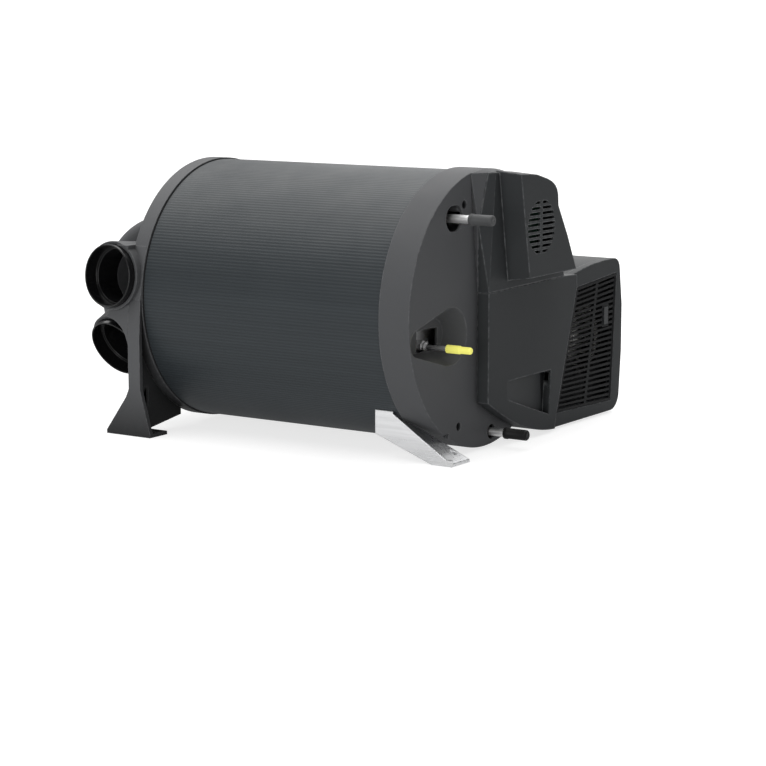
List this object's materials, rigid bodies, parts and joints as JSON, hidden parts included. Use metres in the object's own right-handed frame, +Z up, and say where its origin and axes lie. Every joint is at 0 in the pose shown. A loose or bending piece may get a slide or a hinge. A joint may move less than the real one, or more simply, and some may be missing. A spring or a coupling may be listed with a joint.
{
  "type": "caravan air and water heater",
  "caption": "Horizontal drum-shaped caravan heater for warm air and water, with a fluted jacket, side duct outlets, a fan box with a slotted intake, capped pipes and a sheet-metal front foot.",
  "frame": {"origin": "on the floor, midway between the screw holes of the two rear feet", "axes": "+X along the drum towards the burner end, +Y towards the fan box, +Z up"},
  "size_m": [0.5073, 0.4522, 0.299],
  "materials": {
    "cap_plastic": "mid-grey fine-grained moulding",
    "outlet_plastic": "glossy black",
    "seal_rubber": "black",
    "jacket_plastic": "slate grey, fine flutes along the drum",
    "face_plastic": "dark grey fine-grained moulding",
    "screw_steel": "zinc plated",
    "bracket_aluminium": "bent mill-finish sheet",
    "cover_plastic": "charcoal fine-grained moulding",
    "grille_plastic": "black-grey",
    "latch_plastic": "dark grey",
    "motor_steel": "drawn steel can",
    "shaft_steel": "ground",
    "fan_plastic": "pale grey",
    "pipe_steel": "bright",
    "fitting_brass": "turned",
    "pipe_cap_plastic": "dark grey, soft",
    "fuel_cap_plastic": "pale yellow, soft",
    "insulation_foam": "white foam",
    "tank_steel": "stainless sheet",
    "cast_aluminium": "die cast",
    "gasket_fibre": "dark fibre sheet",
    "plug_ceramic": "white",
    "board_fibre": "green lacquer",
    "board_plastic": "black"
  },
  "bodies": {
    "heater": {"rear_cap": "cap_plastic", "near_foot": "cap_plastic", "far_foot": "cap_plastic", "upper_near_outlet": "outlet_plastic", "lower_near_outlet": "outlet_plastic", "upper_far_outlet": "outlet_plastic", "lower_far_outlet": "outlet_plastic", "rear_seal": "seal_rubber", "front_seal": "seal_rubber", "exhaust_grommet": "seal_rubber", "air_grommet": "seal_rubber", "jacket": "jacket_plastic", "front_cap": "face_plastic", "cover_frame": "face_plastic", "front_cap_screws": "screw_steel", "bracket_screws": "screw_steel", "burner_bolts": "screw_steel", "board_screws": "screw_steel", "front_bracket": "bracket_aluminium", "main_cover": "cover_plastic", "electronics_cover": "cover_plastic", "fan_housing": "cover_plastic", "inlet_ring": "grille_plastic", "combustion_air_pipe": "grille_plastic", "connector_block": "grille_plastic", "circulation_motor": "motor_steel", "blower_motor": "motor_steel", "hot_water_pipe": "pipe_steel", "cold_water_pipe": "pipe_steel", "fuel_pipe": "pipe_steel", "exhaust_pipe": "pipe_steel", "fuel_union": "pipe_steel", "inlet_elbow": "fitting_brass", "upper_insulation": "insulation_foam", "lower_insulation": "insulation_foam", "water_tank": "tank_steel", "combustion_tube": "tank_steel", "heat_exchanger": "cast_aluminium", "burner_flange": "cast_aluminium", "burner_head": "cast_aluminium", "blower_housing": "cast_aluminium", "burner_gasket": "gasket_fibre", "glow_plug": "plug_ceramic", "control_board": "board_fibre", "board_parts": "board_plastic", "overheat_switch": "board_plastic"},
    "circulation_rotor": {"circulation_fan": "fan_plastic", "circulation_shaft": "shaft_steel"},
    "blower_rotor": {"blower_wheel": "fan_plastic", "blower_shaft": "shaft_steel"},
    "grille": {"intake_grille": "grille_plastic"},
    "latch": {"grille_latch": "latch_plastic"},
    "hot_cap": {"hot_pipe_cap": "pipe_cap_plastic"},
    "cold_cap": {"cold_pipe_cap": "pipe_cap_plastic"},
    "fuel_cap": {"fuel_pipe_cap": "fuel_cap_plastic"}
  },
  "joints": [
    {"name": "circulation_spin", "type": "hinge", "parent": "heater", "child": "circulation_rotor", "pos_m": [0.325, 0.221, 0.092], "axis": [1, 0, 0], "continuous": true},
    {"name": "blower_spin", "type": "hinge", "parent": "heater", "child": "blower_rotor", "pos_m": [0.342, 0.046, 0.112], "axis": [1, 0, 0], "continuous": true},
    {"name": "grille_pull", "type": "slide", "parent": "heater", "child": "grille", "axis": [1, 0, 0], "range_m": [0, 0.03]},
    {"name": "latch_press", "type": "slide", "parent": "grille", "child": "latch", "axis": [-1, 0, 0], "range_m": [0, 0.0025], "stiffness_N_per_m": 400},
    {"name": "hot_cap_pull", "type": "slide", "parent": "heater", "child": "hot_cap", "axis": [1, 0, 0], "range_m": [0, 0.03]},
    {"name": "cold_cap_pull", "type": "slide", "parent": "heater", "child": "cold_cap", "axis": [1, 0, 0], "range_m": [0, 0.03]},
    {"name": "fuel_cap_pull", "type": "slide", "parent": "heater", "child": "fuel_cap", "axis": [1, 0, 0], "range_m": [0, 0.032]}
  ]
}
